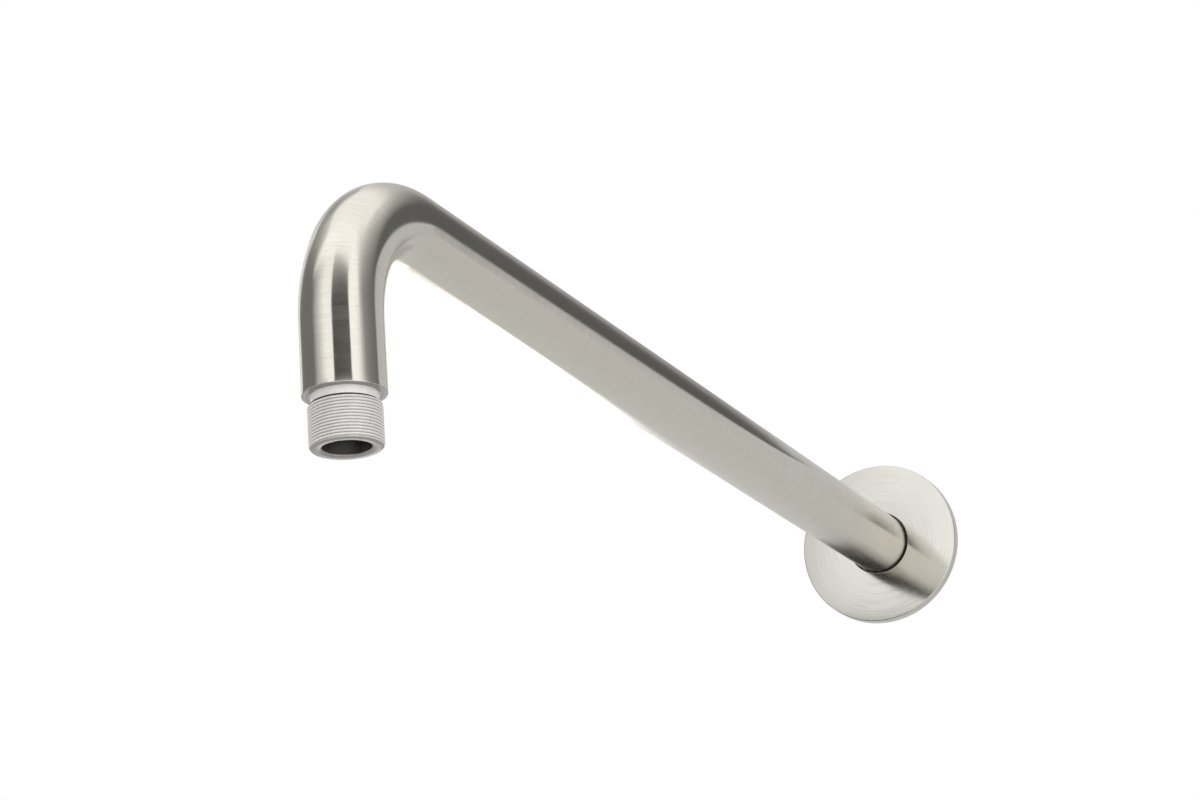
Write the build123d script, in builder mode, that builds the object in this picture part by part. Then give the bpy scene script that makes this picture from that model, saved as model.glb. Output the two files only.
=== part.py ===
from build123d import *

import os

# Wall-mounted shower arm: a bent round tube with threaded ends and a sliding cover flange.
# The wall is the plane x = 0. The arm runs out along +X and drops along -Z. The origin is on the
# arm's axis in the wall plane, at the shoulder of the inlet thread. All sizes are in millimetres.

# Arm tube
tube_diameter = 24.0
tube_wall = 1.5
reach = 450.0  # wall to the axis of the drop
drop = 63.0  # axis of the arm to the lower end of the tube
bend_radius = 42.0  # of the tube's centre line
tube_edge_break = 0.3  # on the rim of the lower end

# Threaded end pieces
thread_diameter = 20.955  # half-inch parallel pipe thread, over the crests
inlet_thread_length = 16.0
outlet_thread_length = 12.9
thread_chamfer = 1.0
neck_diameter = 18.6  # relief between the thread and the tube
neck_length = 2.4
plug_length = 12.0  # of the end piece inside the tube
plug_gap = 0.05  # room for the filler metal round the plug
waterway_diameter = 13.8
waterway_chamfer = 0.5

# Cover flange
flange_diameter = 65.0
flange_rim = 4.2  # height of the straight rim
flange_height = 4.4  # wall to the front of the hole
flange_wall = 1.6
rim_chamfer = 0.4  # between the face and the rim
hole_gap = 0.5  # between the hole and the tube
hole_chamfer = 0.3
hub_wall = 1.6  # round the ring's groove
hub_wall_clearance = 0.6  # between the hub and the wall behind it

# Rubber ring in the flange
ring_thickness = 1.5
ring_running_gap = 0.04  # to the tube and to the floor of the groove
ring_side_gap = 0.3
ring_chamfer = 0.3
groove_front_lip = 0.9  # between the groove and the front of the hole

# Sizes that follow
tube_radius = tube_diameter / 2
tube_bore_radius = tube_radius - tube_wall
tube_start = neck_length
hole_radius = tube_radius + hole_gap
ring_inner_radius = tube_radius + ring_running_gap
groove_radius = ring_inner_radius + ring_thickness + ring_running_gap
groove_front = flange_height - groove_front_lip
groove_back = groove_front - ring_thickness - 2 * ring_side_gap
hub_radius = groove_radius + hub_wall
flange_radius = flange_diameter / 2
face_slope = (flange_height - flange_rim) / (flange_radius - hole_radius)

inlet_seat = Plane(origin=(tube_start, 0, 0), x_dir=(0, 1, 0), z_dir=(-1, 0, 0))
outlet_seat = Plane(origin=(reach, 0, -drop), x_dir=(0, 1, 0), z_dir=(0, 0, -1))

os.makedirs("parts", exist_ok=True)


def face_behind(radius):
    """x of the flange's inner face, which follows the cone of the front one wall behind it."""
    return flange_rim + face_slope * (flange_radius - radius) - flange_wall


def threaded_nipple(seat, thread_length):
    """Turned end piece. Its seat is the end of the tube, and the seat's normal points out of the tube."""
    along = Axis(seat.origin, seat.z_dir)
    with BuildPart() as nipple:
        with BuildSketch(seat):
            Circle(tube_bore_radius - plug_gap)
        extrude(amount=-plug_length)
        with BuildSketch(seat):
            Circle(neck_diameter / 2)
        extrude(amount=neck_length)
        with BuildSketch(seat.offset(neck_length)):
            Circle(thread_diameter / 2)
        extrude(amount=thread_length)
        chamfer(nipple.faces().sort_by(along)[-1].edges(), length=thread_chamfer)
        with BuildSketch(seat.offset(neck_length + thread_length)):
            Circle(waterway_diameter / 2)
        extrude(amount=-(neck_length + thread_length + plug_length), mode=Mode.SUBTRACT)
        waterway_ends = [
            face.edges().sort_by(SortBy.RADIUS)[0]
            for face in (nipple.faces().sort_by(along)[0], nipple.faces().sort_by(along)[-1])
        ]
        chamfer(waterway_ends, length=waterway_chamfer)
    return nipple.part


# Arm tube: a ring carried along the run, the bend and the drop
with BuildPart() as arm_tube:
    with BuildLine(Plane.XZ) as centre_line:
        run = Line((tube_start, 0), (reach - bend_radius, 0))
        bend = JernArc(start=run @ 1, tangent=run % 1, radius=bend_radius, arc_size=-90)
        Line(bend @ 1, (reach, -drop))
    with BuildSketch(Plane(origin=centre_line.line @ 0, z_dir=centre_line.line % 0)):
        Circle(tube_radius)
        Circle(tube_bore_radius, mode=Mode.SUBTRACT)
    sweep(path=centre_line.line)
    lower_rim = arm_tube.faces().sort_by(Axis.Z)[0].edges().sort_by(SortBy.RADIUS)[-1]
    chamfer(lower_rim, length=tube_edge_break)
arm_tube.part.label = "arm_tube"
export_step(arm_tube.part, "parts/arm_tube.step")

# Threaded end pieces
inlet_nipple = threaded_nipple(inlet_seat, inlet_thread_length)
inlet_nipple.label = "inlet_nipple"
export_step(inlet_nipple, "parts/inlet_nipple.step")

outlet_nipple = threaded_nipple(outlet_seat, outlet_thread_length)
outlet_nipple.label = "outlet_nipple"
export_step(outlet_nipple, "parts/outlet_nipple.step")

# Cover flange: a turned shell with a nearly flat, conical face, a straight rim and a grooved hub
with BuildPart() as wall_flange:
    with BuildSketch(Plane.XZ) as flange_section:
        with BuildLine():
            Polyline(
                (0, flange_radius),
                (flange_rim, flange_radius),
                (flange_height, hole_radius),
                (groove_front, hole_radius),
                (groove_front, groove_radius),
                (groove_back, groove_radius),
                (groove_back, hole_radius),
                (hub_wall_clearance, hole_radius),
                (hub_wall_clearance, hub_radius),
                (face_behind(hub_radius), hub_radius),
                (face_behind(flange_radius - flange_wall), flange_radius - flange_wall),
                (0, flange_radius - flange_wall),
                close=True,
            )
        make_face()
        by_radius = flange_section.vertices().group_by(Axis.Y)
        rim_corner = by_radius[-1].sort_by(Axis.X)[-1]
        hole_corner = by_radius[0].sort_by(Axis.X)[-1]
        chamfer(rim_corner, length=rim_chamfer)
        chamfer(hole_corner, length=hole_chamfer)
    revolve(axis=Axis.X)
wall_flange.part.label = "wall_flange"
export_step(wall_flange.part, "parts/wall_flange.step")

# Square-cut rubber ring in the flange's groove
with BuildPart() as rubber_ring:
    with BuildSketch(Plane.XZ) as ring_section:
        with Locations(((groove_front + groove_back) / 2, ring_inner_radius + ring_thickness / 2)):
            Rectangle(ring_thickness, ring_thickness)
        chamfer(ring_section.vertices(), length=ring_chamfer)
    revolve(axis=Axis.X)
rubber_ring.part.label = "rubber_ring"
export_step(rubber_ring.part, "parts/rubber_ring.step")
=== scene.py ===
"""Finished surfaces of a wall-mounted shower arm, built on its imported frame.

Lengths are in metres. The wall is the plane x = 0, the arm runs out along +X and drops along -Z.
"""

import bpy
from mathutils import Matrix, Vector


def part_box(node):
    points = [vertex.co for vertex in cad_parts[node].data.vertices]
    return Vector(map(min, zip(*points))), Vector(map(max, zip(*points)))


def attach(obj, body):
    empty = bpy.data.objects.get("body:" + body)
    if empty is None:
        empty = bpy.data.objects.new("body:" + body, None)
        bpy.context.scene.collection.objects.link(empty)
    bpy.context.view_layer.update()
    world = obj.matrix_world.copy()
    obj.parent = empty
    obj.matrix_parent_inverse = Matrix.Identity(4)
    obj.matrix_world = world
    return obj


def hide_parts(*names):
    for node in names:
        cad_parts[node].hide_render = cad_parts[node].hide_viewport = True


bl_info = {
    "name": "Shower Arm Finish",
    "version": (1, 0, 0),
    "blender": (4, 5, 0),
    "location": "3D View > Sidebar > Shower Arm",
    "description": "Builds the brushed tube, cut threads, cover flange and studio of a shower arm",
    "category": "Object",
}

import math

import bpy
import numpy as np
from bpy.props import FloatProperty, FloatVectorProperty, IntProperty, PointerProperty
from mathutils import Matrix, Vector

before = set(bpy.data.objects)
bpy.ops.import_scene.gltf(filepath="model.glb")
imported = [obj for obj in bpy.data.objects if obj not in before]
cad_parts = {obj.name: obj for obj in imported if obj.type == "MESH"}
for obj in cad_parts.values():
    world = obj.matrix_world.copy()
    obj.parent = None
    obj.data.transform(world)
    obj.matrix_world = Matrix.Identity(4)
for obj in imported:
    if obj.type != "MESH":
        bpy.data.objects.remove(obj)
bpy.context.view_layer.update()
tube_low, tube_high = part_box("arm_tube")
inlet_low, inlet_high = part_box("inlet_nipple")
outlet_low, outlet_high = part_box("outlet_nipple")
flange_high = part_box("wall_flange")[1]

BRUSH_MAP = "brush"
CARD_MAP = "card"
# Mask of the painted shade in the threads' roots: depth below the crests, with the first slope counted as
# deep
ROOT_SHADE_DEPTH = "painted_root_shade_depth"
QUARTER_TURN = math.pi / 2
FULL_TURN = 2 * math.pi
WHITE = (1.0, 1.0, 1.0, 1.0)

# Rows along the tube's three stretches and the neck, and points in a rounded corner
RUN_ROWS = 24
BEND_ROWS = 72
DROP_ROWS = 10
NECK_ROWS = 12
TUBE_CORNER_STEPS = 5
FLANGE_CORNER_STEPS = 7

# Edges that turn by more than this are drawn sharp
TUBE_SHARP_ANGLE = math.radians(12)
THREAD_SHARP_ANGLE = math.radians(50)
FLANGE_SHARP_ANGLE = math.radians(20)

# Places of the finishes in the lists of the tube and of the end pieces
TUBE_BRUSHED, TUBE_CUT, TUBE_BORE = range(3)
END_THREAD, END_CUT, END_BORE, END_NECK = range(4)


class ArmTubeSizes(bpy.types.PropertyGroup):
    """Sizes of the bent tube."""

    radius: FloatProperty(
        name="Outer Radius", description="Half the tube's width", default=tube_high.z, unit="LENGTH"
    )
    wall: FloatProperty(
        name="Wall", description="Thickness of the tube's wall", default=0.0015, unit="LENGTH"
    )
    bend_radius: FloatProperty(
        name="Bend Radius", description="Radius of the centre line in the bend", default=0.042, unit="LENGTH"
    )
    rim_break: FloatProperty(
        name="Rim Break", description="Rounding of the lower end's rim", default=0.0003, unit="LENGTH"
    )
    columns: IntProperty(name="Columns", description="Faces round the tube", default=160, min=24)


class ThreadedEndSizes(bpy.types.PropertyGroup):
    """Sizes that both threaded end pieces share."""

    crest_radius: FloatProperty(
        name="Crest Radius", description="Half the width over the crests",
        default=inlet_high.y, unit="LENGTH",
    )
    pitch: FloatProperty(
        name="Pitch", description="Distance from one crest to the next", default=0.00091, unit="LENGTH"
    )
    depth: FloatProperty(
        name="Depth", description="Depth of the thread's grooves", default=0.00048, unit="LENGTH"
    )
    neck_radius: FloatProperty(
        name="Neck Radius", description="Half the width of the relief neck", default=0.0096, unit="LENGTH"
    )
    neck_length: FloatProperty(
        name="Neck Length", description="Length of the relief neck", default=tube_low.x, unit="LENGTH"
    )
    neck_taper: FloatProperty(
        name="Neck Taper", description="How far the neck narrows towards the thread",
        default=0.0005, unit="LENGTH",
    )
    plug_gap: FloatProperty(
        name="Plug Gap", description="Room between the plug and the tube", default=0.00005, unit="LENGTH"
    )
    start_chamfer: FloatProperty(
        name="Start Chamfer", description="Slope from the neck to the crests", default=0.0009, unit="LENGTH"
    )
    end_chamfer: FloatProperty(
        name="End Chamfer", description="Slope at the thread's open end", default=0.0006, unit="LENGTH"
    )
    waterway_radius: FloatProperty(
        name="Waterway Radius", description="Half the width of the bore", default=0.0069, unit="LENGTH"
    )
    waterway_chamfer: FloatProperty(
        name="Waterway Chamfer", description="Slope at the bore's ends", default=0.0005, unit="LENGTH"
    )
    columns: IntProperty(name="Columns", description="Faces round the thread", default=128, min=24)
    rows_per_pitch: IntProperty(
        name="Rows per Pitch", description="Rows across one crest", default=14, min=6
    )


class CoverFlangeSizes(bpy.types.PropertyGroup):
    """Sizes of the cover flange."""

    radius: FloatProperty(
        name="Radius", description="Half the flange's width", default=flange_high.y, unit="LENGTH"
    )
    rim: FloatProperty(
        name="Rim", description="Height of the straight rim", default=0.0042, unit="LENGTH"
    )
    height: FloatProperty(
        name="Height", description="From the wall to the front of the hole",
        default=0.0044, unit="LENGTH",
    )
    wall: FloatProperty(
        name="Wall", description="Thickness of the flange's shell", default=0.0016, unit="LENGTH"
    )
    hole_radius: FloatProperty(
        name="Hole Radius", description="Half the width of the hole", default=0.0125, unit="LENGTH"
    )
    groove_radius: FloatProperty(
        name="Groove Radius", description="Half the width of the ring's groove",
        default=0.01358, unit="LENGTH",
    )
    groove_front: FloatProperty(
        name="Groove Front", description="Front side of the ring's groove", default=0.0035, unit="LENGTH"
    )
    groove_back: FloatProperty(
        name="Groove Back", description="Rear side of the ring's groove", default=0.0014, unit="LENGTH"
    )
    hub_radius: FloatProperty(
        name="Hub Radius", description="Half the width of the hub", default=0.01518, unit="LENGTH"
    )
    hub_clearance: FloatProperty(
        name="Hub Clearance", description="From the wall to the hub", default=0.0006, unit="LENGTH"
    )
    edge_break: FloatProperty(
        name="Edge Break", description="Rounding of the visible edges", default=0.0004, unit="LENGTH"
    )
    inner_break: FloatProperty(
        name="Inner Break", description="Rounding of the hidden edges", default=0.00008, unit="LENGTH"
    )
    columns: IntProperty(name="Columns", description="Faces round the flange", default=224, min=24)


class NickelFinish(bpy.types.PropertyGroup):
    """Colours and gloss of the metal."""

    brushed_colour: FloatVectorProperty(
        name="Brushed Nickel", description="Warm grey of the brushed plating", default=(0.69, 0.661, 0.594),
        subtype="COLOR", min=0, max=1,
    )
    # Painted shade: the flange's colour is the tube's brushed nickel darkened for the light its face gets
    flange_shaded_colour: FloatVectorProperty(
        name="Shaded Brushed Flange", description="Warm grey of the flange", default=(0.62, 0.606, 0.559),
        subtype="COLOR", min=0, max=1,
    )
    turned_colour: FloatVectorProperty(
        name="Turned Nickel", description="Bright nickel of the threads", default=(0.98, 0.962, 0.945),
        subtype="COLOR", min=0, max=1,
    )
    cut_colour: FloatVectorProperty(
        name="Cut Ends", description="Duller grey of the faced ends", default=(0.36, 0.349, 0.33),
        subtype="COLOR", min=0, max=1,
    )
    # Painted shade: the waterway's dull metal, darkened near black for the shade inside the tube
    bore_shade_colour: FloatVectorProperty(
        name="Bore", description="Dull metal inside the tube", default=(0.06, 0.058, 0.055),
        subtype="COLOR", min=0, max=1,
    )
    rubber_colour: FloatVectorProperty(
        name="Rubber", description="Black of the rubber ring", default=(0.018, 0.018, 0.018),
        subtype="COLOR", min=0, max=1,
    )
    # Painted highlight: the necks' near-white colour stands in for the bright reflection of the nickel there
    neck_highlight_colour: FloatVectorProperty(
        name="Neck", description="Pale satin of the relief necks", default=(0.97, 0.955, 0.945),
        subtype="COLOR", min=0, max=1,
    )
    tube_roughness: FloatProperty(
        name="Tube Roughness", description="Mean roughness of the brushed tube", default=0.16,
        subtype="FACTOR", min=0, max=1,
    )
    tube_stretch: FloatProperty(
        name="Tube Stretch", description="How far the tube's brush lines draw out a reflection",
        default=0.93, subtype="FACTOR", min=0, max=1,
    )
    flange_roughness: FloatProperty(
        name="Flange Roughness", description="Mean roughness of the brushed flange", default=0.12,
        subtype="FACTOR", min=0, max=1,
    )
    flange_stretch: FloatProperty(
        name="Flange Stretch", description="How far the flange's brush lines draw out a reflection",
        default=0.85, subtype="FACTOR", min=0, max=1,
    )
    tube_line: FloatProperty(
        name="Tube Line", description="Width of the brush lines on the tube", default=0.00033, unit="LENGTH"
    )
    flange_line: FloatProperty(
        name="Flange Line", description="Width of the brush lines on the flange",
        default=0.0003, unit="LENGTH",
    )
    turning_line: FloatProperty(
        name="Turning Line", description="Width of the tool marks on the ends",
        default=0.00012, unit="LENGTH",
    )


class StudioSettings(bpy.types.PropertyGroup):
    """Camera, light and floor."""

    camera_target: FloatVectorProperty(
        name="Camera Target", description="Point at the middle of the picture",
        default=(0.242713, -0.014276, -0.002692), subtype="TRANSLATION", unit="LENGTH",
    )
    camera_azimuth: FloatProperty(
        name="Camera Azimuth", description="From +X towards +Y",
        default=math.radians(23.59107), unit="ROTATION",
    )
    camera_elevation: FloatProperty(
        name="Camera Elevation", description="Above the horizon",
        default=math.radians(-18.93333), unit="ROTATION",
    )
    camera_roll: FloatProperty(
        name="Camera Roll", description="Turn about the line of sight",
        default=math.radians(-4.31656), unit="ROTATION",
    )
    camera_distance: FloatProperty(
        name="Camera Distance", description="From the target", default=1.051556, unit="LENGTH"
    )
    camera_lens: FloatProperty(name="Camera Lens", description="Focal length in millimetres", default=92.461)
    floor_height: FloatProperty(
        name="Floor Height", description="Of the shower's floor under the arm", default=-2.1, unit="LENGTH"
    )
    floor_size: FloatProperty(
        name="Floor Size", description="Side of the floor", default=120.0, unit="LENGTH"
    )
    floor_colour: FloatVectorProperty(
        name="Floor", description="Pale grey of the floor", default=(0.74, 0.715, 0.70),
        subtype="COLOR", min=0, max=1,
    )
    daylight: FloatProperty(
        name="Daylight", description="Light from all round on plain surfaces", default=1.0, min=0
    )


class ShowerArmSettings(bpy.types.PropertyGroup):
    """All that a user would change."""

    tube: PointerProperty(type=ArmTubeSizes)
    ends: PointerProperty(type=ThreadedEndSizes)
    flange: PointerProperty(type=CoverFlangeSizes)
    finish: PointerProperty(type=NickelFinish)
    studio: PointerProperty(type=StudioSettings)


# Surfaces


def rounded_section(corners, cuts, steps):
    """Closed section with rounded corners, as an array of corners by steps by two.

    Each corner P becomes the parabola (1-t)^2 A + 2t(1-t) P + t^2 B, where A and B lie one cut
    before and one cut after P on its two sides.
    """
    corners = np.asarray(corners, float)
    cuts = np.asarray(cuts, float)[:, None]
    to_last = np.roll(corners, 1, axis=0) - corners
    to_next = np.roll(corners, -1, axis=0) - corners
    before = corners + cuts * to_last / np.linalg.norm(to_last, axis=1, keepdims=True)
    after = corners + cuts * to_next / np.linalg.norm(to_next, axis=1, keepdims=True)
    t = np.linspace(0.0, 1.0, steps)[None, :, None]
    return (1 - t) ** 2 * before[:, None] + 2 * t * (1 - t) * corners[:, None] + t**2 * after[:, None]


def section_lengths(section):
    """Length along a closed section at each of its points, and at its end."""
    sides = np.linalg.norm(np.roll(section, -1, axis=0) - section, axis=1)
    return np.concatenate([[0.0], np.cumsum(sides)])


def revolved(origin, axis, side, height, radius, columns):
    """Turned surface: origin + h axis + r (cos t side + sin t (axis x side)), for t once round.

    height and radius are arrays of rows by one, or of rows by columns where they change round the axis.
    """
    origin = np.array(origin, float)
    axis = np.array(axis, float)
    side = np.array(side, float)
    t = np.arange(columns) * FULL_TURN / columns
    across = np.cos(t)[:, None] * side + np.sin(t)[:, None] * np.cross(axis, side)
    return origin + height[..., None] * axis + radius[..., None] * across


def closed_mesh(name, points, along, finishes, finish_of_row, sharp_angle):
    """Mesh of a grid that closes both ways, with its turn and its length along as the brush map.

    Rows follow the section and columns go round. The quads between row i and i + 1 face outwards
    when the section runs along the axis on its outer side.
    """
    rows, columns = points.shape[:2]
    row = np.arange(rows)[:, None]
    column = np.arange(columns)[None, :]
    here = row * columns
    there = (row + 1) % rows * columns
    beside = (column + 1) % columns
    quads = np.stack([here + column, here + beside, there + beside, there + column], axis=-1)
    mesh = bpy.data.meshes.new(name)
    mesh.from_pydata(points.reshape(-1, 3), [], quads.reshape(-1, 4))
    turn = np.stack([column, column + 1, column + 1, column], axis=-1) / columns
    length = np.stack([along[:-1], along[:-1], along[1:], along[1:]], axis=-1)[:, None, :]
    brush = np.stack(np.broadcast_arrays(turn, length), axis=-1)
    mesh.uv_layers.new(name=BRUSH_MAP).data.foreach_set("uv", brush.astype(np.float32).ravel())
    for finish in finishes:
        mesh.materials.append(finish)
    mesh.polygons.foreach_set("material_index", np.repeat(finish_of_row, columns).astype(np.int32))
    mesh.shade_smooth()
    mesh.set_sharp_from_angle(angle=sharp_angle)
    mesh.update()
    piece = bpy.data.objects.new(name, mesh)
    bpy.context.scene.collection.objects.link(piece)
    return piece


def drop_axis(sizes):
    """x of the drop's axis: the tube's far side less its radius."""
    return tube_high.x - sizes.radius


def run_length(sizes):
    """Length of the straight run: from the tube's start to the bend."""
    return drop_axis(sizes) - sizes.bend_radius - tube_low.x


def tube_line(sizes, length):
    """Centre line of the arm and its outward normal, for lengths along it.

    The run is straight along +X, the bend turns by the angle a = (length - run) / radius up to a
    quarter turn, and the drop is straight along -Z. The normal is (sin a, 0, cos a).
    """
    run = run_length(sizes)
    angle = np.clip((length - run) / sizes.bend_radius, 0.0, QUARTER_TURN)
    beyond = np.maximum(length - run - sizes.bend_radius * QUARTER_TURN, 0.0)
    zero = np.zeros_like(angle)
    x = tube_low.x + np.minimum(length, run) + sizes.bend_radius * np.sin(angle)
    z = -sizes.bend_radius * (1 - np.cos(angle)) - beyond
    return np.stack([x, zero, z], axis=-1), np.stack([np.sin(angle), zero, np.cos(angle)], axis=-1)


def arm_tube_surface(sizes):
    """Wall of the tube: C(s) + r (cos t N(s) + sin t B), where (s, r) goes once round the wall's section.

    Returns the points, the section and the tube's whole length.
    """
    run = run_length(sizes)
    bend = sizes.bend_radius * QUARTER_TURN
    tail = -tube_low.z - sizes.bend_radius
    whole = run + bend + tail
    stations = np.concatenate([
        np.linspace(0.0, run, RUN_ROWS)[1:],
        run + np.linspace(0.0, bend, BEND_ROWS)[1:],
        run + bend + np.linspace(0.0, tail, DROP_ROWS)[1:-1],
    ])
    bore = sizes.radius - sizes.wall
    hidden_break = sizes.rim_break / 3
    corners = rounded_section(
        [(0.0, sizes.radius), (whole, sizes.radius), (whole, bore), (0.0, bore)],
        [hidden_break, sizes.rim_break, hidden_break, hidden_break],
        TUBE_CORNER_STEPS,
    )
    outside = np.stack([stations, np.full_like(stations, sizes.radius)], axis=-1)
    inside = np.stack([stations[::-1], np.full_like(stations, bore)], axis=-1)
    section = np.concatenate([corners[0], outside, corners[1], corners[2], inside, corners[3]])
    centre, normal = tube_line(sizes, section[:, 0])
    sideways = np.array([0.0, -1.0, 0.0])
    t = np.arange(sizes.columns)[None, :, None] * FULL_TURN / sizes.columns
    across = np.cos(t) * normal[:, None] + np.sin(t) * sideways
    return centre[:, None] + section[:, 1, None, None] * across, section, whole


def thread_radius(sizes, height, turn, start, end):
    """Radius of the thread: crest - depth (1/2 + w/2), a rounded triangle wave w of height / pitch - turn.

    w = asin(k cos) / asin(k) rounds the crests and roots. A cone rises from the neck at the start and
    another one falls at the open end, and the smallest of the three radii counts.
    """
    sharpness = 0.94
    phase = FULL_TURN * (height / sizes.pitch - turn)
    wave = np.arcsin(sharpness * np.cos(phase)) / np.arcsin(sharpness)
    cut = sizes.crest_radius - sizes.depth * (0.5 + 0.5 * wave)
    rising = sizes.crest_radius - sizes.start_chamfer + (height - start)
    falling = sizes.crest_radius - sizes.end_chamfer + (end - height)
    return np.minimum(cut, np.minimum(rising, falling))


def threaded_end_section(sizes, plug_radius, plug_length, end):
    """Section of a turned end piece as heights and radii, split before, in and after its thread.

    Heights count from the end of the tube, outwards. The neck narrows as the square of its height.
    """
    bore = sizes.waterway_radius
    slope = sizes.waterway_chamfer
    share = np.linspace(0.0, 1.0, NECK_ROWS)
    neck = np.stack([sizes.neck_length * share, sizes.neck_radius - sizes.neck_taper * share**2], axis=-1)
    plug = np.array([(-plug_length, bore + slope), (-plug_length, plug_radius), (0.0, plug_radius)])
    before = np.concatenate([plug, neck])
    after = np.array([
        (end, bore + slope),
        (end - slope, bore),
        (slope - plug_length, bore),
    ])
    rows = round((end - sizes.neck_length) / sizes.pitch * sizes.rows_per_pitch)
    return before, np.linspace(sizes.neck_length, end, rows), after


def threaded_end(name, sizes, tube, finishes, seat, axis, plug_length, end):
    """Turned end piece with a helical thread, whose seat is the end of the tube.

    Each point keeps its depth below the crests in units of the thread's depth, the mask by which the
    thread's material paints shade into the roots. The slope before the first crest counts as deep, so
    that it gets the painted shadow of the neck.
    """
    shaded_share = 0.7
    shaded_depth = 2.0
    plug_radius = tube.radius - tube.wall - sizes.plug_gap
    before, thread, after = threaded_end_section(sizes, plug_radius, plug_length, end)
    turn = np.arange(sizes.columns)[None, :] / sizes.columns
    cut = thread_radius(sizes, thread[:, None], turn, sizes.neck_length, end)
    heights = np.concatenate([before[:, 0], thread, after[:, 0]])
    radii = np.concatenate([
        np.repeat(before[:, 1, None], sizes.columns, axis=1),
        cut,
        np.repeat(after[:, 1, None], sizes.columns, axis=1),
    ])
    points = revolved(seat, axis, (0.0, 1.0, 0.0), heights[:, None], radii, sizes.columns)
    along = section_lengths(np.stack([heights, radii.mean(axis=1)], axis=-1))
    neck_row = len(before) - NECK_ROWS
    end_row = len(before) + len(thread) - 1
    finish_of_row = np.full(len(heights), END_THREAD)
    finish_of_row[neck_row - 1] = END_CUT
    finish_of_row[neck_row:len(before)] = END_NECK
    finish_of_row[end_row:end_row + 2] = END_CUT
    finish_of_row[end_row + 2:] = END_BORE
    piece = closed_mesh(name, points, along, finishes, finish_of_row, THREAD_SHARP_ANGLE)
    depth_below = np.maximum(sizes.crest_radius - cut, 0.0) / sizes.depth
    # Painted shadow of the neck: the slope before the first crest is given a deep value so that it renders
    # dark
    depth_below[thread < sizes.neck_length + shaded_share * sizes.start_chamfer] = shaded_depth
    groove = np.zeros_like(radii)
    groove[len(before):len(before) + len(thread)] = depth_below
    depth = piece.data.attributes.new(ROOT_SHADE_DEPTH, "FLOAT", "POINT")
    depth.data.foreach_set("value", groove.astype(np.float32).ravel())
    return piece


def wall_flange_section(sizes):
    """Section of the flange as (x, radius): rim, nearly flat face, hole with its groove, hub and back.

    The back of the face follows the front's slope, one wall behind it.
    """
    slope = (sizes.height - sizes.rim) / (sizes.radius - sizes.hole_radius)
    inner = sizes.radius - sizes.wall

    def behind(radius):
        return sizes.rim + slope * (sizes.radius - radius) - sizes.wall

    corners = [
        (0.0, sizes.radius),
        (sizes.rim, sizes.radius),
        (sizes.height, sizes.hole_radius),
        (sizes.groove_front, sizes.hole_radius),
        (sizes.groove_front, sizes.groove_radius),
        (sizes.groove_back, sizes.groove_radius),
        (sizes.groove_back, sizes.hole_radius),
        (sizes.hub_clearance, sizes.hole_radius),
        (sizes.hub_clearance, sizes.hub_radius),
        (behind(sizes.hub_radius), sizes.hub_radius),
        (behind(inner), inner),
        (0.0, inner),
    ]
    cuts = np.full(len(corners), sizes.inner_break)
    cuts[1:3] = sizes.edge_break
    return rounded_section(corners, cuts, FLANGE_CORNER_STEPS).reshape(-1, 2)


# Materials


def add_node(tree, kind, place, settings=None, sockets=None):
    """New node at a place on the sheet, with its settings and its sockets' values."""
    node = tree.nodes.new(kind)
    node.location = place
    for key, value in (settings or {}).items():
        setattr(node, key, value)
    for key, value in (sockets or {}).items():
        node.inputs[key].default_value = value
    return node


def new_group(name, inputs, outputs):
    """New shader group with its sockets, its input node and its output node."""
    tree = bpy.data.node_groups.new(name, "ShaderNodeTree")
    for label, kind, value in inputs:
        socket = tree.interface.new_socket(name=label, in_out="INPUT", socket_type=kind)
        if value is not None:
            socket.default_value = value
    for label in outputs:
        tree.interface.new_socket(name=label, in_out="OUTPUT", socket_type="NodeSocketFloat")
    source = add_node(tree, "NodeGroupInput", (-900, 0))
    target = add_node(tree, "NodeGroupOutput", (700, 0))
    return tree, source, target


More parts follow.
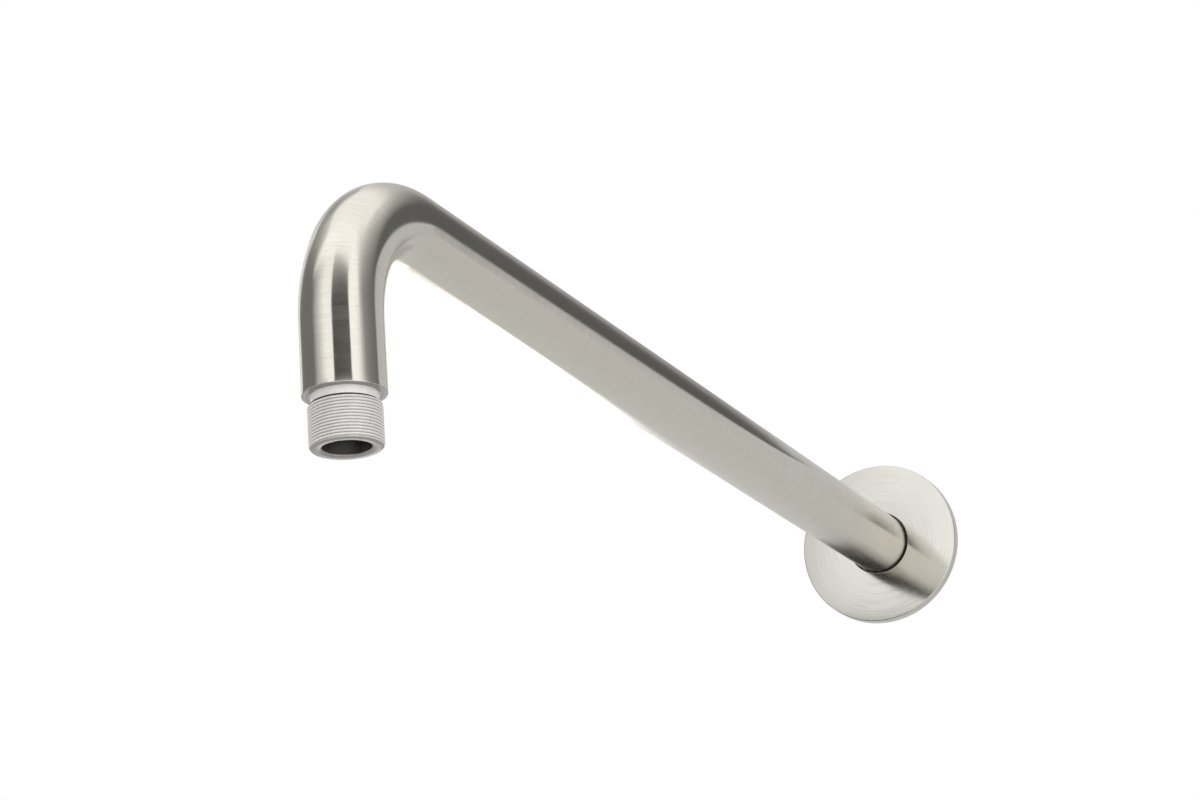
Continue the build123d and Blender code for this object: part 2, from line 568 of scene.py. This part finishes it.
def brush_marks_group():
    """Lines left by a brush or a tool that went round the piece: long noise on a cylinder of the brush map.

    Turn goes round from 0 to 1, and Along is a length. Marks are 0 in a scratch and 1 between scratches.
    """
    name = "brush_marks"
    if name in bpy.data.node_groups:
        return bpy.data.node_groups[name]
    tree, source, target = new_group(
        name,
        [
            ("Turn", "NodeSocketFloat", 0.0),
            ("Along", "NodeSocketFloat", 0.0),
            ("Line Width", "NodeSocketFloat", 0.0004),
            ("Strokes Around", "NodeSocketFloat", 6.0),
        ],
        ["Marks"],
    )
    angle = add_node(tree, "ShaderNodeMath", (-700, 200), {"operation": "MULTIPLY"}, {1: FULL_TURN})
    cosine = add_node(tree, "ShaderNodeMath", (-500, 300), {"operation": "COSINE"})
    sine = add_node(tree, "ShaderNodeMath", (-500, 120), {"operation": "SINE"})
    reach = add_node(tree, "ShaderNodeMath", (-500, -60), {"operation": "DIVIDE"}, {1: FULL_TURN})
    across = add_node(tree, "ShaderNodeMath", (-300, 300), {"operation": "MULTIPLY"})
    beside = add_node(tree, "ShaderNodeMath", (-300, 120), {"operation": "MULTIPLY"})
    line = add_node(tree, "ShaderNodeMath", (-300, -60), {"operation": "DIVIDE"})
    place = add_node(tree, "ShaderNodeCombineXYZ", (-100, 120))
    noise = add_node(
        tree, "ShaderNodeTexNoise", (80, 120), {"noise_dimensions": "3D"},
        {"Scale": 1.0, "Detail": 4.0, "Roughness": 0.6},
    )
    spread = add_node(
        tree, "ShaderNodeMapRange", (300, 120), None, {"From Min": 0.28, "From Max": 0.72}
    )
    link = tree.links.new
    link(source.outputs["Turn"], angle.inputs[0])
    link(angle.outputs[0], cosine.inputs[0])
    link(angle.outputs[0], sine.inputs[0])
    link(source.outputs["Strokes Around"], reach.inputs[0])
    link(cosine.outputs[0], across.inputs[0])
    link(reach.outputs[0], across.inputs[1])
    link(sine.outputs[0], beside.inputs[0])
    link(reach.outputs[0], beside.inputs[1])
    link(source.outputs["Along"], line.inputs[0])
    link(source.outputs["Line Width"], line.inputs[1])
    link(across.outputs[0], place.inputs["X"])
    link(beside.outputs[0], place.inputs["Y"])
    link(line.outputs[0], place.inputs["Z"])
    link(place.outputs[0], noise.inputs["Vector"])
    link(noise.outputs["Fac"], spread.inputs["Value"])
    link(spread.outputs["Result"], target.inputs["Marks"])
    return tree


def haze_group():
    """Faint cloudiness of a handled surface: soft noise on the object's own coordinates, from 0 to 1."""
    name = "surface_haze"
    if name in bpy.data.node_groups:
        return bpy.data.node_groups[name]
    tree, source, target = new_group(
        name, [("Place", "NodeSocketVector", None), ("Grain", "NodeSocketFloat", 60.0)], ["Haze"]
    )
    noise = add_node(tree, "ShaderNodeTexNoise", (-200, 0), None, {"Detail": 5.0, "Roughness": 0.55})
    spread = add_node(tree, "ShaderNodeMapRange", (100, 0), None, {"From Min": 0.3, "From Max": 0.7})
    tree.links.new(source.outputs["Place"], noise.inputs["Vector"])
    tree.links.new(source.outputs["Grain"], noise.inputs["Scale"])
    tree.links.new(noise.outputs["Fac"], spread.inputs["Value"])
    tree.links.new(spread.outputs["Result"], target.inputs["Haze"])
    return tree


def new_material(name):
    """New material with a Principled BSDF linked to its output."""
    material = bpy.data.materials.new(name)
    material.use_nodes = True
    tree = material.node_tree
    tree.nodes.clear()
    shader = add_node(tree, "ShaderNodeBsdfPrincipled", (500, 0))
    output = add_node(tree, "ShaderNodeOutputMaterial", (800, 0))
    tree.links.new(shader.outputs["BSDF"], output.inputs["Surface"])
    return material, tree, shader


def tinted(colour, share):
    """A colour times a share, with full alpha."""
    return (*(min(1.0, c * share) for c in colour), 1.0)


def marked_metal(name, colour, line, strokes, roughness, stretch, mark_depth, mark_tone, grain):
    """Metal with marks that go round it, which draw a reflection out across them.

    A scratch is rougher and a little darker than the metal between scratches, and haze makes both uneven.
    """
    scratch_rougher = 0.03
    between_smoother = 0.02
    haze_spread = 0.015
    across_the_marks = 0.25
    material, tree, shader = new_material(name)
    link = tree.links.new
    brush = add_node(tree, "ShaderNodeUVMap", (-1100, 200), {"uv_map": BRUSH_MAP})
    split = add_node(tree, "ShaderNodeSeparateXYZ", (-900, 200))
    marks = add_node(
        tree, "ShaderNodeGroup", (-700, 200), {"node_tree": brush_marks_group()},
        {"Line Width": line, "Strokes Around": strokes},
    )
    place = add_node(tree, "ShaderNodeTexCoord", (-900, -200))
    haze = add_node(
        tree, "ShaderNodeGroup", (-700, -200), {"node_tree": haze_group()}, {"Grain": grain}
    )
    tone = add_node(
        tree, "ShaderNodeMix", (-200, 300), {"data_type": "RGBA"},
        {"A": tinted(colour, 1 - mark_tone), "B": tinted(colour, 1 + mark_tone / 2)},
    )
    gloss = add_node(
        tree, "ShaderNodeMapRange", (-400, 0), None,
        {"To Min": roughness + scratch_rougher, "To Max": roughness - between_smoother},
    )
    cloud = add_node(
        tree, "ShaderNodeMapRange", (-400, -250), None, {"To Min": -haze_spread, "To Max": haze_spread}
    )
    rough = add_node(tree, "ShaderNodeMath", (-100, -60), {"operation": "ADD"})
    bump = add_node(tree, "ShaderNodeBump", (100, -300), None, {"Strength": 1.0, "Distance": mark_depth})
    tangent = add_node(
        tree, "ShaderNodeTangent", (100, -550), {"direction_type": "UV_MAP", "uv_map": BRUSH_MAP}
    )
    link(brush.outputs["UV"], split.inputs[0])
    link(split.outputs["X"], marks.inputs["Turn"])
    link(split.outputs["Y"], marks.inputs["Along"])
    link(place.outputs["Object"], haze.inputs["Place"])
    link(marks.outputs["Marks"], tone.inputs["Factor"])
    link(tone.outputs["Result"], shader.inputs["Base Color"])
    link(marks.outputs["Marks"], gloss.inputs["Value"])
    link(haze.outputs["Haze"], cloud.inputs["Value"])
    link(gloss.outputs["Result"], rough.inputs[0])
    link(cloud.outputs["Result"], rough.inputs[1])
    link(rough.outputs[0], shader.inputs["Roughness"])
    link(marks.outputs["Marks"], bump.inputs["Height"])
    link(bump.outputs["Normal"], shader.inputs["Normal"])
    link(tangent.outputs["Tangent"], shader.inputs["Tangent"])
    shader.inputs["Metallic"].default_value = 1.0
    shader.inputs["Anisotropic"].default_value = stretch
    shader.inputs["Anisotropic Rotation"].default_value = across_the_marks
    return material


def brushed_tube_finish(finish):
    """Satin nickel of the arm, brushed round the tube."""
    return marked_metal(
        "brushed_nickel", finish.brushed_colour, line=finish.tube_line, strokes=10.0,
        roughness=finish.tube_roughness, stretch=finish.tube_stretch,
        mark_depth=0.000002, mark_tone=0.07, grain=60.0,
    )


def brushed_flange_finish(finish):
    """Satin nickel of the flange, brushed in circles, in the tube's nickel darkened as painted shade."""
    return marked_metal(
        "circular_brushed_nickel", finish.flange_shaded_colour, line=finish.flange_line, strokes=9.0,
        roughness=finish.flange_roughness, stretch=finish.flange_stretch,
        mark_depth=0.000002, mark_tone=0.08, grain=60.0,
    )


def thread_finish(finish):
    """Cut thread: bright crests over roots darkened with painted shade, by the groove's depth at each point
    of the mesh.
    """
    name = "cut_thread"
    # Painted shade: the roots darken to this share of the crests' colour
    root_shade = 0.06
    edge_shade = 0.3
    if name in bpy.data.materials:
        return bpy.data.materials[name]
    material, tree, shader = new_material(name)
    link = tree.links.new
    depth = add_node(tree, "ShaderNodeAttribute", (-900, 200), {"attribute_name": ROOT_SHADE_DEPTH})
    place = add_node(tree, "ShaderNodeTexCoord", (-1100, -100))
    haze = add_node(tree, "ShaderNodeGroup", (-900, -100), {"node_tree": haze_group()}, {"Grain": 2500.0})
    root = add_node(tree, "ShaderNodeMapRange", (-650, 200), None, {"From Min": 0.35, "From Max": 1.6})
    tone = add_node(
        tree, "ShaderNodeMix", (-400, 200), {"data_type": "RGBA"},
        {"A": tinted(finish.turned_colour, 1.0), "B": tinted(finish.turned_colour, root_shade)},
    )
    rough = add_node(tree, "ShaderNodeMapRange", (-400, -100), None, {"To Min": 0.36, "To Max": 0.44})
    link(depth.outputs["Fac"], root.inputs["Value"])
    link(root.outputs["Result"], tone.inputs["Factor"])
    link(tone.outputs["Result"], shader.inputs["Base Color"])
    link(place.outputs["Object"], haze.inputs["Place"])
    link(haze.outputs["Haze"], rough.inputs["Value"])
    link(rough.outputs["Result"], shader.inputs["Roughness"])
    shader.inputs["Metallic"].default_value = 0.62
    shader.inputs["Specular IOR Level"].default_value = 0.0
    shader.inputs["Specular Tint"].default_value = tinted(finish.turned_colour, edge_shade)
    return material


def cut_finish(finish):
    """Duller metal of the ends, faced square on a lathe."""
    name = "cut_nickel"
    if name in bpy.data.materials:
        return bpy.data.materials[name]
    return marked_metal(
        name, finish.cut_colour, line=finish.turning_line, strokes=2.0, roughness=0.36, stretch=0.3,
        mark_depth=0.000003, mark_tone=0.1, grain=400.0,
    )


def dull_material(name, colour, roughness, metallic, grain, dent, cloud):
    """Plain dull surface with a cloudy tone and a fine uneven skin."""
    roughness_spread = 0.06
    if name in bpy.data.materials:
        return bpy.data.materials[name]
    material, tree, shader = new_material(name)
    link = tree.links.new
    place = add_node(tree, "ShaderNodeTexCoord", (-900, 0))
    haze = add_node(tree, "ShaderNodeGroup", (-700, 0), {"node_tree": haze_group()}, {"Grain": grain})
    tone = add_node(
        tree, "ShaderNodeMix", (-200, 200), {"data_type": "RGBA"},
        {"A": tinted(colour, 1 - cloud), "B": tinted(colour, 1 + cloud)},
    )
    rough = add_node(
        tree, "ShaderNodeMapRange", (-200, -50), None,
        {"To Min": roughness - roughness_spread, "To Max": roughness + roughness_spread},
    )
    bump = add_node(tree, "ShaderNodeBump", (100, -250), None, {"Strength": 1.0, "Distance": dent})
    link(place.outputs["Object"], haze.inputs["Place"])
    link(haze.outputs["Haze"], tone.inputs["Factor"])
    link(haze.outputs["Haze"], rough.inputs["Value"])
    link(haze.outputs["Haze"], bump.inputs["Height"])
    link(tone.outputs["Result"], shader.inputs["Base Color"])
    link(rough.outputs["Result"], shader.inputs["Roughness"])
    link(bump.outputs["Normal"], shader.inputs["Normal"])
    shader.inputs["Metallic"].default_value = metallic
    return material


def shaded_bore_finish(finish):
    """Dull unplated metal of the waterway, darkened near black as painted shade inside the bore."""
    return dull_material(
        "dull_bore", finish.bore_shade_colour, roughness=0.5, metallic=1.0, grain=900.0, dent=0.00002, cloud=0.2
    )


def lit_neck_finish(finish):
    """Pale satin of the relief necks: a near-white, mostly matt copy of the nickel that paints in their
    bright reflection.
    """
    return dull_material(
        "satin_neck", finish.neck_highlight_colour, roughness=0.5, metallic=0.2, grain=300.0, dent=0.000004, cloud=0.03
    )


def rubber_finish(finish):
    """Smooth moulded black rubber."""
    return dull_material(
        "moulded_rubber", finish.rubber_colour, roughness=0.55, metallic=0.0, grain=1500.0, dent=0.00002,
        cloud=0.2,
    )


# Pieces


class ArmTube(bpy.types.Operator):
    """Build the bent tube, brushed round its length"""

    bl_idname = "shower_arm.arm_tube"
    bl_label = "Arm Tube"

    def execute(self, context):
        settings = context.scene.shower_arm
        sizes = settings.tube
        if sizes.bend_radius <= sizes.radius:
            raise ValueError("the bend radius has to be larger than the tube's radius")
        points, section, whole = arm_tube_surface(sizes)
        bore = sizes.radius - sizes.wall
        inside = section[:, 1] < bore + sizes.rim_break / 10
        at_end = section[:, 0] > whole - sizes.rim_break / 2
        finish_of_row = np.where(inside, TUBE_BORE, np.where(at_end, TUBE_CUT, TUBE_BRUSHED))
        finishes = [
            brushed_tube_finish(settings.finish), cut_finish(settings.finish), shaded_bore_finish(settings.finish)
        ]
        piece = closed_mesh(
            "tube", points, section_lengths(section), finishes, finish_of_row, TUBE_SHARP_ANGLE
        )
        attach(piece, "arm")
        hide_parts("arm_tube")
        return {"FINISHED"}


class ThreadedEnds(bpy.types.Operator):
    """Build the two turned end pieces with their pipe threads"""

    bl_idname = "shower_arm.threaded_ends"
    bl_label = "Threaded Ends"

    def execute(self, context):
        settings = context.scene.shower_arm
        sizes = settings.ends
        if sizes.depth >= sizes.crest_radius - sizes.waterway_radius:
            raise ValueError("the thread is cut through to the waterway")
        finish = settings.finish
        finishes = [thread_finish(finish), cut_finish(finish), shaded_bore_finish(finish), lit_neck_finish(finish)]
        inlet = threaded_end(
            "inlet_end", sizes, settings.tube, finishes,
            seat=(tube_low.x, 0.0, 0.0), axis=(-1.0, 0.0, 0.0),
            plug_length=inlet_high.x - tube_low.x, end=tube_low.x - inlet_low.x,
        )
        outlet = threaded_end(
            "outlet_end", sizes, settings.tube, finishes,
            seat=(drop_axis(settings.tube), 0.0, tube_low.z), axis=(0.0, 0.0, -1.0),
            plug_length=outlet_high.z - tube_low.z, end=tube_low.z - outlet_low.z,
        )
        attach(inlet, "arm")
        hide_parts("inlet_nipple")
        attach(outlet, "arm")
        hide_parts("outlet_nipple")
        return {"FINISHED"}


class CoverFlange(bpy.types.Operator):
    """Build the flat cover flange, brushed in circles"""

    bl_idname = "shower_arm.cover_flange"
    bl_label = "Cover Flange"

    def execute(self, context):
        settings = context.scene.shower_arm
        sizes = settings.flange
        if sizes.hole_radius <= settings.tube.radius:
            raise ValueError("the flange's hole has to be wider than the tube")
        section = wall_flange_section(sizes)
        points = revolved(
            origin=(0.0, 0.0, 0.0), axis=(1.0, 0.0, 0.0), side=(0.0, 0.0, 1.0),
            height=section[:, :1], radius=section[:, 1:], columns=sizes.columns,
        )
        piece = closed_mesh(
            "flange", points, section_lengths(section), [brushed_flange_finish(settings.finish)],
            np.zeros(len(section)), FLANGE_SHARP_ANGLE,
        )
        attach(piece, "flange")
        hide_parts("wall_flange")
        return {"FINISHED"}


class RubberRing(bpy.types.Operator):
    """Give the ring in the flange's groove its rubber"""

    bl_idname = "shower_arm.rubber_ring"
    bl_label = "Rubber Ring"

    def execute(self, context):
        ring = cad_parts["rubber_ring"]
        ring.data.materials.clear()
        ring.data.materials.append(rubber_finish(context.scene.shower_arm.finish))
        return {"FINISHED"}


# Stage


def plain_surface(name, colour):
    """Matt stage material."""
    material, _, shader = new_material(name)
    shader.inputs["Base Color"].default_value = (*colour, 1.0)
    shader.inputs["Roughness"].default_value = 1.0
    shader.inputs["Specular IOR Level"].default_value = 0.0
    return material


def glowing_card(name, first, last, top, rise, one_sided):
    """Material of a card that is seen in reflections, and from behind too unless it is one-sided.

    Its level goes from first to last across the card, and to the top level above a share of its height.
    """
    material = bpy.data.materials.new(name)
    material.use_nodes = True
    tree = material.node_tree
    tree.nodes.clear()
    place = add_node(tree, "ShaderNodeUVMap", (-900, 0), {"uv_map": CARD_MAP})
    split = add_node(tree, "ShaderNodeSeparateXYZ", (-700, 0))
    across = add_node(tree, "ShaderNodeMapRange", (-500, 150), None, {"To Min": first, "To Max": last})
    above = add_node(tree, "ShaderNodeMapRange", (-500, -150), None, {"From Min": rise, "From Max": 1.0})
    mixed = add_node(tree, "ShaderNodeMix", (-250, 0), {"data_type": "FLOAT"}, {"B": top})
    glow = add_node(tree, "ShaderNodeEmission", (0, 0))
    output = add_node(tree, "ShaderNodeOutputMaterial", (300, 0))
    link = tree.links.new
    link(place.outputs["UV"], split.inputs[0])
    link(split.outputs["X"], across.inputs["Value"])
    link(split.outputs["Y"], above.inputs["Value"])
    link(above.outputs["Result"], mixed.inputs["Factor"])
    link(across.outputs["Result"], mixed.inputs["A"])
    link(mixed.outputs["Result"], glow.inputs["Strength"])
    link(glow.outputs["Emission"], output.inputs["Surface"])
    if one_sided:
        side = add_node(tree, "ShaderNodeNewGeometry", (-250, 300))
        clear = add_node(tree, "ShaderNodeBsdfTransparent", (0, -150))
        shown = add_node(tree, "ShaderNodeMixShader", (150, 100))
        link(side.outputs["Backfacing"], shown.inputs["Fac"])
        link(glow.outputs["Emission"], shown.inputs[1])
        link(clear.outputs["BSDF"], shown.inputs[2])
        link(shown.outputs["Shader"], output.inputs["Surface"])
    return material


def rectangle(name, corners, material):
    """Stage piece of one face, with a map from 0 to 1 across and up it."""
    mesh = bpy.data.meshes.new(name)
    mesh.from_pydata(np.asarray(corners, float), [], [(0, 1, 2, 3)])
    mesh.materials.append(material)
    mesh.uv_layers.new(name=CARD_MAP).data.foreach_set("uv", np.array([0, 0, 1, 0, 1, 1, 0, 1], np.float32))
    piece = bpy.data.objects.new(name, mesh)
    bpy.context.scene.collection.objects.link(piece)
    return piece


def standing(x, outline):
    """Corners of an upright card in the plane of one x, from its outline in y and z."""
    return [(x, y, z) for y, z in outline]


def lying(x_range, y_range, z):
    """Corners of a level rectangle at one height."""
    (west, east), (south, north) = x_range, y_range
    return [(west, south, z), (east, south, z), (east, north, z), (west, north, z)]


def even(level):
    """The same level on both sides of a card and at its top."""
    return (level, level, level)


def reflected_card(name, corners, levels, rise=0.3, one_sided=False):
    """Card of four corners that is seen only in reflections, with the levels of its sides and its top."""
    card = rectangle(name, corners, glowing_card(name, *levels, rise, one_sided))
    card.visible_camera = False
    card.visible_diffuse = False
    card.visible_shadow = False


def upright_card(name, azimuths, elevations, levels, rise):
    """Upright card round the drop, between two azimuths and two elevations in degrees."""
    distance = 3.0
    middle = np.array([tube_high.x, 0.0, tube_low.z])
    azimuth = np.radians([azimuths[0], azimuths[1], azimuths[1], azimuths[0]])
    slope = np.tan(np.radians([elevations[0], elevations[0], elevations[1], elevations[1]]))
    corners = middle + distance * np.stack([np.cos(azimuth), np.sin(azimuth), slope], axis=-1)
    reflected_card(name, corners, levels, rise)


def studio_world(level):
    """World that is white to the camera, in mirrors and through glass, and lights the rest at a level."""
    world = bpy.data.worlds.new("studio")
    world.use_nodes = True
    tree = world.node_tree
    tree.nodes.clear()
    link = tree.links.new
    path = add_node(tree, "ShaderNodeLightPath", (-900, 300))
    seen = add_node(tree, "ShaderNodeMath", (-650, 300), {"operation": "MAXIMUM"})
    shown = add_node(tree, "ShaderNodeMath", (-450, 300), {"operation": "MAXIMUM"})
    light = add_node(tree, "ShaderNodeBackground", (-450, 0), None, {"Color": WHITE, "Strength": level})
    white = add_node(tree, "ShaderNodeBackground", (-450, -150), None, {"Color": WHITE, "Strength": 1.0})
    mixed = add_node(tree, "ShaderNodeMixShader", (-200, 100))
    output = add_node(tree, "ShaderNodeOutputWorld", (0, 100))
    link(path.outputs["Is Camera Ray"], seen.inputs[0])
    link(path.outputs["Is Glossy Ray"], seen.inputs[1])
    link(seen.outputs[0], shown.inputs[0])
    link(path.outputs["Is Transmission Ray"], shown.inputs[1])
    link(shown.outputs[0], mixed.inputs["Fac"])
    link(light.outputs[0], mixed.inputs[1])
    link(white.outputs[0], mixed.inputs[2])
    link(mixed.outputs[0], output.inputs["Surface"])
    bpy.context.scene.world = world


def studio_camera(studio):
    """Camera at the photograph's angle, turned about its line of sight by the roll."""
    azimuth = studio.camera_azimuth
    elevation = studio.camera_elevation
    back = Vector((
        math.cos(azimuth) * math.cos(elevation), math.sin(azimuth) * math.cos(elevation), math.sin(elevation)
    ))
    level = Vector((0.0, 0.0, 1.0)).cross(back).normalized()
    upright = back.cross(level)
    right = math.cos(studio.camera_roll) * level + math.sin(studio.camera_roll) * upright
    up = back.cross(right)
    camera = bpy.data.objects.new("camera", bpy.data.cameras.new("camera"))
    camera.data.sensor_width = 36.0
    camera.data.lens = studio.camera_lens
    camera.data.clip_start = 0.01
    camera.data.clip_end = 500.0
    place = Vector(studio.camera_target) + studio.camera_distance * back
    camera.matrix_world = Matrix.Translation(place) @ Matrix((right, up, back)).transposed().to_4x4()
    bpy.context.scene.collection.objects.link(camera)
    bpy.context.scene.camera = camera


# Cards round the drop: azimuths, elevations, the levels of the two sides and of the top, and the
# share of the height where the top begins
RING = (
    ("left_flag", (-54.0, -112.0), (-8.0, 62.0), (0.21, 0.22, 0.95), 0.4),
    ("left_fade", (-19.0, -54.0), (-3.0, 62.0), (1.3, 0.21, 1.05), 0.35),
    ("left_softbox", (4.2, -19.0), (-3.0, 62.0), (1.27, 1.3, 1.05), 0.3),
    ("camera_flag", (4.2, 51.0), (6.0, 62.0), (0.03, 0.03, 1.0), 0.24),
    ("right_softbox", (51.0, 69.0), (-3.0, 62.0), (1.36, 1.32, 1.0), 0.3),
    ("right_fade", (69.0, 92.0), (-3.0, 62.0), (1.32, 0.3, 1.0), 0.3),
    ("right_flag", (92.0, 146.0), (-3.0, 55.0), (0.3, 0.12, 1.0), 0.37),
    ("upper_left_flag", (-104.0, -148.0), (40.0, 58.0), (0.45, 0.26, 0.6), 0.6),
    ("low_flag", (-11.0, -48.0), (-33.0, 9.0), (0.02, 0.02, 0.02), 0.3),
    ("low_fade", (-11.0, 8.0), (-33.0, 6.0), (0.2, 1.2, 1.2), 0.95),
    ("low_reflector", (8.0, 100.0), (-33.0, 6.0), (1.25, 1.25, 1.25), 0.3),
)

# Screens behind the run, which are seen only from their +X side: corners, the levels of the two sides
# and of the top, and the share of the height where the top begins
REAR_SCREENS_X = 0.06
SCREENS = (
    (
        "rear_flag",
        standing(REAR_SCREENS_X, [(0.029, 0.027), (0.48, 0.147), (0.48, 0.72), (0.024, 0.72)]),
        (0.115, 0.15, 1.0), 0.38,
    ),
    (
        "rear_wedge",
        standing(REAR_SCREENS_X, [(-0.15, 0.15), (0.029, 0.04), (0.024, 0.72), (-0.26, 0.72)]),
        (0.6, 0.34, 0.95), 0.36,
    ),
)

# Cards behind, beside and above the arm, in the same form, where an even card needs no share
CARDS = (
    (
        "left_reflector",
        standing(-0.05, [(-0.175, -0.228), (-0.30, -0.228), (-0.50, 0.40), (-0.17, 0.06)]), even(1.9),
    ),
    (
        "drop_reflector",
        standing(0.411, [(0.0125, -0.075), (0.055, -0.075), (0.055, 0.001), (0.0125, -0.0022)]), even(0.65),
    ),
    (
        "flange_reflector",
        standing(0.5, [(-0.08, 0.035), (0.24, 0.035), (0.24, 0.40), (-0.08, 0.40)]), even(1.35),
    ),
    (
        "back_wall",
        standing(-0.8, [(1.0, -2.1), (-1.6, -2.1), (-1.6, 1.6), (1.0, 1.6)]), (0.65, 0.75, 0.69), 0.45,
    ),
    ("top_softbox", lying((-3.5, 4.5), (-4.0, 4.0), 6.2), even(1.2)),
)


class Studio(bpy.types.Operator):
    """Build the floor, the light, the cards and the camera"""

    bl_idname = "shower_arm.studio"
    bl_label = "Studio"

    def execute(self, context):
        studio = context.scene.shower_arm.studio
        side = (-studio.floor_size / 2, studio.floor_size / 2)
        rectangle(
            "floor", lying(side, side, studio.floor_height), plain_surface("pale_floor", studio.floor_colour)
        )
        for card in RING:
            upright_card(*card)
        for card in SCREENS:
            reflected_card(*card, one_sided=True)
        for card in CARDS:
            reflected_card(*card)
        studio_world(studio.daylight)
        studio_camera(studio)
        context.scene.view_settings.view_transform = "Standard"
        return {"FINISHED"}


class SidebarPanel(bpy.types.Panel):
    """Lists the shower arm's sizes and pieces"""

    bl_idname = "VIEW3D_PT_shower_arm"
    bl_label = "Shower Arm"
    bl_space_type = "VIEW_3D"
    bl_region_type = "UI"
    bl_category = "Shower Arm"

    def draw(self, context):
        settings = context.scene.shower_arm
        for group in (settings.tube, settings.ends, settings.flange, settings.finish, settings.studio):
            box = self.layout.box()
            for key in group.__annotations__:
                box.prop(group, key)
        for operator in PIECES:
            self.layout.operator(operator.bl_idname)


GROUPS = (
    ArmTubeSizes, ThreadedEndSizes, CoverFlangeSizes, NickelFinish, StudioSettings, ShowerArmSettings
)
PIECES = (ArmTube, ThreadedEnds, CoverFlange, RubberRing, Studio)
CLASSES = (*GROUPS, *PIECES, SidebarPanel)


def register():
    for kind in CLASSES:
        bpy.utils.register_class(kind)
    bpy.types.Scene.shower_arm = PointerProperty(type=ShowerArmSettings)


def unregister():
    del bpy.types.Scene.shower_arm
    for kind in reversed(CLASSES):
        bpy.utils.unregister_class(kind)


def main():
    """Builds every piece in order."""
    register()
    bpy.ops.shower_arm.arm_tube()
    bpy.ops.shower_arm.threaded_ends()
    bpy.ops.shower_arm.cover_flange()
    bpy.ops.shower_arm.rubber_ring()
    bpy.ops.shower_arm.studio()


if __name__ == "__main__":
    main()
